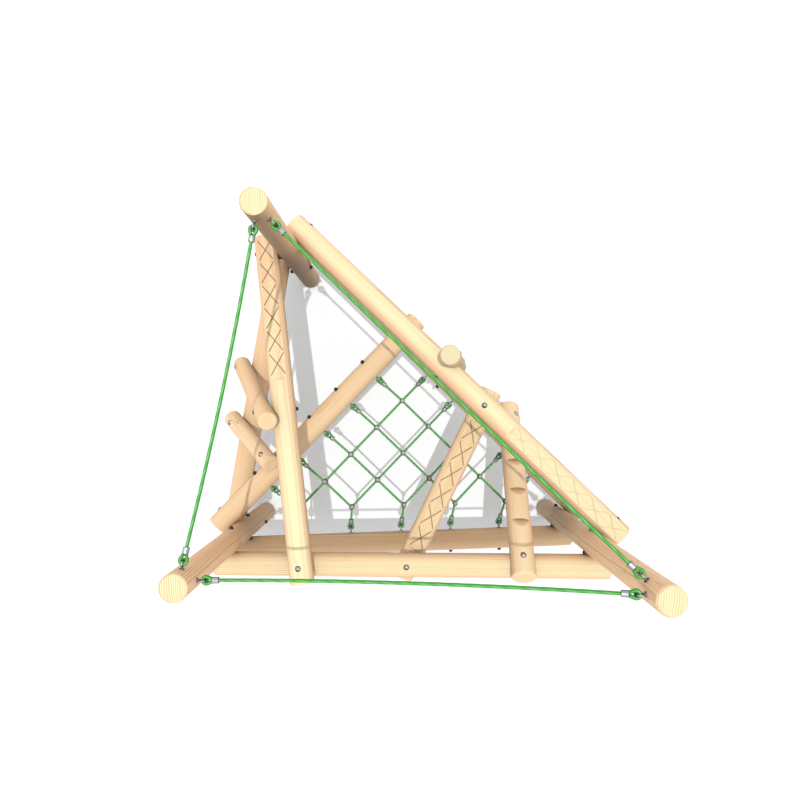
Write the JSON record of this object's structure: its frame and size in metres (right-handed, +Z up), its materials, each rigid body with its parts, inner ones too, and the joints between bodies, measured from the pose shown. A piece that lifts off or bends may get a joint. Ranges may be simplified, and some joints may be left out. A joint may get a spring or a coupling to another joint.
{
  "type": "triangular log climbing frame",
  "caption": "Triangular wooden climbing frame of round logs bolted to three posts, with leaning and bridging logs, taut green hand ropes and a low climbing net.",
  "frame": {"origin": "centre of the foot of the front left post, on the ground", "axes": "+X along the front side to the front right post, +Y towards the back post, +Z up"},
  "size_m": [2.632, 2.309, 2.295],
  "materials": {
    "log_wood": "satin",
    "steel_fittings": "satin",
    "hand_rope_fibre": "matte",
    "net_rope_fibre": "matte"
  },
  "bodies": {
    "root": {"front_left_post": "log_wood", "front_right_post": "log_wood", "back_post": "log_wood", "upper_front_beam": "log_wood", "lower_front_beam": "log_wood", "upper_right_beam": "log_wood", "lower_right_beam": "log_wood", "left_beam": "log_wood", "walking_log": "log_wood", "bridge_log": "log_wood", "ladder_log": "log_wood", "net_log": "log_wood", "tall_leaning_pole": "log_wood", "low_leaning_pole": "log_wood", "right_leaning_pole": "log_wood", "post_bolts": "steel_fittings", "post_bolt_nuts": "steel_fittings", "log_bolts": "steel_fittings", "log_bolt_nuts": "steel_fittings", "hand_rope_thimbles": "steel_fittings", "hand_rope_ferrules": "steel_fittings", "hand_rope_eye_bolts": "steel_fittings", "hand_rope_nuts": "steel_fittings", "net_clamps": "steel_fittings", "net_thimbles": "steel_fittings", "net_ferrules": "steel_fittings", "net_eye_bolts": "steel_fittings", "net_nuts": "steel_fittings", "left_hand_rope": "hand_rope_fibre", "right_hand_rope": "hand_rope_fibre", "front_hand_rope": "hand_rope_fibre", "net_ropes": "net_rope_fibre"}
  },
  "joints": []
}
